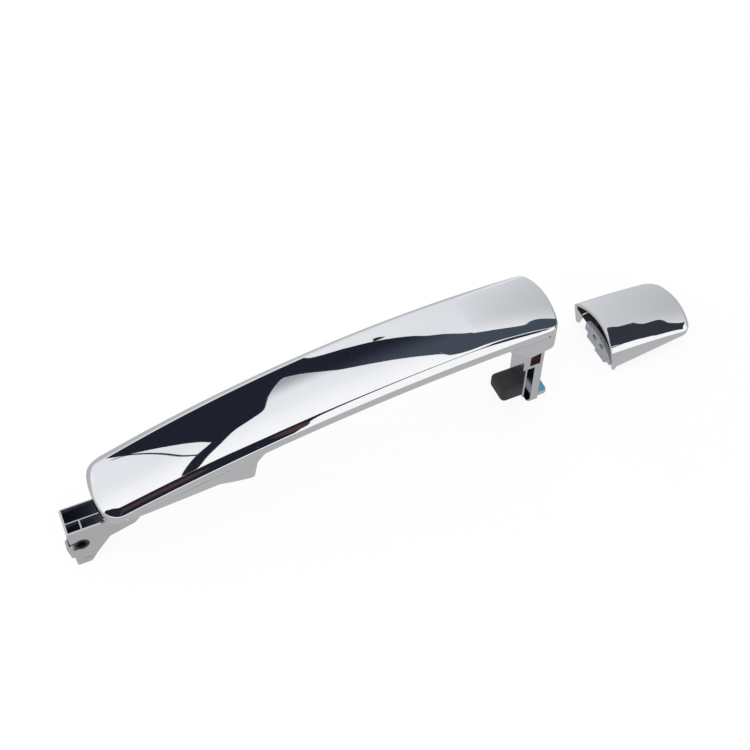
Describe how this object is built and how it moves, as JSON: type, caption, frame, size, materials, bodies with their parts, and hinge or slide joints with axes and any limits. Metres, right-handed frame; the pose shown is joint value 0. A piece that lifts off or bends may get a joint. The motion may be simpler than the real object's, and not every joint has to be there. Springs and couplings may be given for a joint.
{
  "type": "car door handle",
  "caption": "Outer pull handle of a car door: curved bright grip with a front pivot fork and a rear latch leg, and the separate end cap that continues its line.",
  "frame": {"origin": "middle of the pivot bush's bore, on its axis", "axes": "+X from the front pivot along the handle to its rear, +Y along the pivot axis across the handle, +Z outward from the door skin"},
  "size_m": [0.2847, 0.0428, 0.0642],
  "materials": {
    "bright_plating": "polished",
    "satin_casting": "satin",
    "black_sleeve": "satin",
    "steel_strip": "satin",
    "zinc_screws": "zinc plated",
    "foam": "matte",
    "rubber": "matte",
    "blue_acetal": "satin",
    "grey_carrier": "satin",
    "brass_insert": "turned",
    "spring_steel": "bright"
  },
  "bodies": {
    "pivot": {"pivot_bush": "black_sleeve"},
    "handle": {"grip_cover": "bright_plating", "grip_base": "bright_plating", "stiffener": "steel_strip", "stiffener_rivets": "steel_strip", "damping_pad": "foam", "pivot_fork": "satin_casting", "fork_screws": "zinc_screws", "latch_leg": "satin_casting", "leg_screws": "zinc_screws", "cover_screws": "zinc_screws", "leg_bumper": "rubber", "latch_shoe": "blue_acetal"},
    "cap": {"cap_shell": "bright_plating", "cap_frame": "grey_carrier", "frame_screws": "zinc_screws", "cap_insert": "brass_insert", "cap_clip": "spring_steel", "cap_pad": "foam"}
  },
  "joints": [
    {"name": "handle_pull", "type": "hinge", "parent": "pivot", "child": "handle", "pos_m": [0, 0, 0], "axis": [0, -1, 0], "range_deg": [0, 8]},
    {"name": "cap_fit", "type": "slide", "parent": "pivot", "child": "cap", "axis": [-0.6288, -0.1721, 0.7583], "range_m": [0, 0.05868]}
  ]
}
